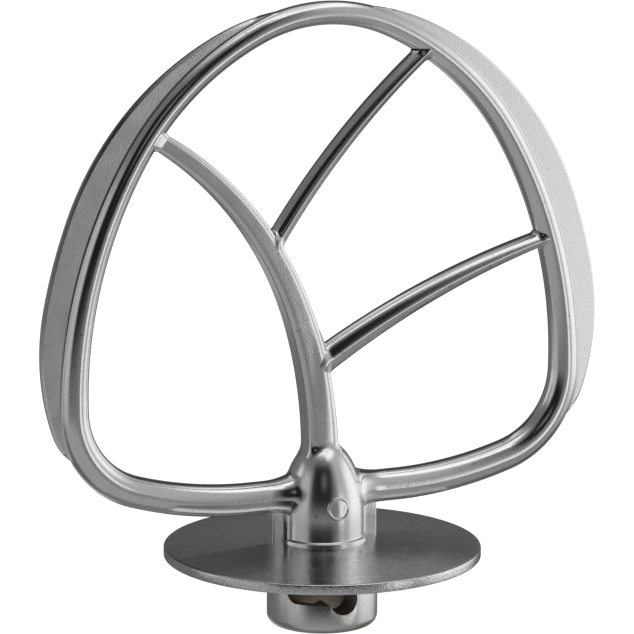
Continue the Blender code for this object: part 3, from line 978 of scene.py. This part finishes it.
# The room that the steel reflects, painted on a tent round the beater. Each soft patch lies over the ones
# before it: (name, turn from the front, turn to, rise from, rise to, blur, level). Angles are in degrees, turns
# grow towards +X, and a level is the grey of a perfect mirror's picture of the patch.
ROOM_LEVEL = 0.45
ROOM = (
    ("table", -100, 28, -75, -14, 3, 0.58),
    ("table left", -180, -95, -65, -18, 12, 0.38),
    ("table rear", -210, -165, -62, -12, 10, 0.75),
    ("table right", 22, 95, -62, -25, 12, 0.52),
    ("table far right", 82, 125, -60, -12, 8, 0.33),
    ("left wall", -125, -58, -16, 30, 10, 0.68),
    ("left lamp", -119, -106, -10, 28, 4, 0.85),
    ("left rear wall", -155, -122, -16, 24, 6, 0.42),
    ("upper left wall", -165, -55, 30, 58, 7, 0.42),
    ("front wall", -62, 20, -15, 60, 8, 0.42),
    ("front dark", -57, 9, -6, 46, 7, 0.12),
    ("camera", -25, -11, 14, 31, 3, 0.40),
    ("right wall", 22, 150, -14, 54, 7, 0.66),
    ("right window", 56, 112, -22, 30, 14, 0.97),
    ("blade shade", 4, 26, -22, 4, 5, 0.47),
    ("right screen", 25, 40, -22, 4, 2.5, 0.93),
    ("ceiling", -200, 200, 62, 100, 6, 0.70),
    ("ceiling lamps", 2, 125, 54, 74, 5, 1.02),
    ("ceiling right", -20, 150, 70, 100, 8, 0.85),
    ("lamp over the camera", -80, 25, 71, 86, 4, 1.02),
    ("rear wall", 122, 215, -25, 14, 8, 0.36),
    ("rear wall left", -215, -158, -25, 14, 8, 0.36),
    ("rear wall top", 118, 215, 14, 46, 5, 0.24),
    ("rear wall top left", -215, -158, 14, 46, 5, 0.24),
    ("rear left lamp", -200, -158, 46, 66, 6, 0.85),
)
STEEL_REFLECTS = 0.80


def soft_step(tree, value, middle, blur, rising):
    """0 to 1 over a blurred edge, or 1 to 0 if it isn't rising."""
    item = node(tree, "ShaderNodeMapRange")
    item.interpolation_type = "SMOOTHSTEP"
    item.inputs["From Min"].default_value = radians(middle - blur)
    item.inputs["From Max"].default_value = radians(middle + blur)
    item.inputs["To Min"].default_value = 0.0 if rising else 1.0
    item.inputs["To Max"].default_value = 1.0 if rising else 0.0
    tree.links.new(value, item.inputs["Value"])
    return item.outputs["Result"]


def as_light(level):
    """The light that a steel mirror turns into this grey."""
    return level**2.2 / STEEL_REFLECTS


def room_material():
    material = bpy.data.materials.new("room")
    material.use_nodes = True
    material.cycles.emission_sampling = "NONE"
    tree = material.node_tree
    tree.nodes.clear()
    place = tree.nodes.new("ShaderNodeTexCoord")
    unit = tree.nodes.new("ShaderNodeVectorMath")
    unit.operation = "NORMALIZE"
    tree.links.new(place.outputs["Object"], unit.inputs[0])
    parts = tree.nodes.new("ShaderNodeSeparateXYZ")
    tree.links.new(unit.outputs["Vector"], parts.inputs["Vector"])
    turn = math_node(tree, "ARCTAN2", parts.outputs["X"], math_node(tree, "MULTIPLY", parts.outputs["Y"], -1.0))
    rise = math_node(tree, "ARCSINE", parts.outputs["Z"])
    light = as_light(ROOM_LEVEL)
    for name, turn_from, turn_to, rise_from, rise_to, blur, level in ROOM:
        inside = soft_step(tree, turn, turn_from, blur, True)
        for value, edge, rising in ((turn, turn_to, False), (rise, rise_from, True), (rise, rise_to, False)):
            inside = math_node(tree, "MULTIPLY", inside, soft_step(tree, value, edge, blur, rising))
        mixed = tree.nodes.new("ShaderNodeMix")
        mixed.label = name
        tree.links.new(inside, mixed.inputs["Factor"])
        if isinstance(light, float):
            mixed.inputs["A"].default_value = light
        else:
            tree.links.new(light, mixed.inputs["A"])
        mixed.inputs["B"].default_value = as_light(level)
        light = mixed.outputs["Result"]
    glow = tree.nodes.new("ShaderNodeEmission")
    tree.links.new(light, glow.inputs["Strength"])
    out = tree.nodes.new("ShaderNodeOutputMaterial")
    tree.links.new(glow.outputs["Emission"], out.inputs["Surface"])
    return material


def add_floor():
    """A pale floor as bright as the backdrop. The steel reflects the tent through it."""
    builder = bmesh.new()
    bmesh.ops.create_circle(builder, cap_ends=True, radius=3.0, segments=64)
    mesh = bpy.data.meshes.new("floor")
    builder.to_mesh(mesh)
    builder.free()
    floor = bpy.data.objects.new("floor", mesh)
    bpy.context.scene.collection.objects.link(floor)
    material = bpy.data.materials.new("floor")
    material.use_nodes = True
    shader = material.node_tree.nodes["Principled BSDF"]
    shader.inputs["Base Color"].default_value = (0.3, 0.3, 0.3, 1)
    shader.inputs["Roughness"].default_value = 0.9
    shader.inputs["Emission Color"].default_value = (1, 1, 1, 1)
    shader.inputs["Emission Strength"].default_value = 1.0
    floor.data.materials.append(material)
    floor.visible_glossy = False


def add_studio():
    scene = bpy.context.scene
    scene.view_settings.view_transform = "Standard"
    world = bpy.data.worlds.new("studio")
    scene.world = world
    world.use_nodes = True
    world.node_tree.nodes["Background"].inputs["Color"].default_value = (1, 1, 1, 1)
    world.node_tree.nodes["Background"].inputs["Strength"].default_value = 1.0
    builder = bmesh.new()
    bmesh.ops.create_uvsphere(builder, u_segments=128, v_segments=64, radius=1.3)
    mesh = bpy.data.meshes.new("tent")
    builder.to_mesh(mesh)
    builder.free()
    tent = bpy.data.objects.new("tent", mesh)
    tent.location = (0, 0, 0.085)
    scene.collection.objects.link(tent)
    tent.data.materials.append(room_material())
    tent.visible_camera = False
    add_floor()


add_loop()
add_ribs()
add_blades()
add_webs()
add_hub()
add_disc()
add_collar()
add_badge()
add_materials()
add_camera()
add_studio()
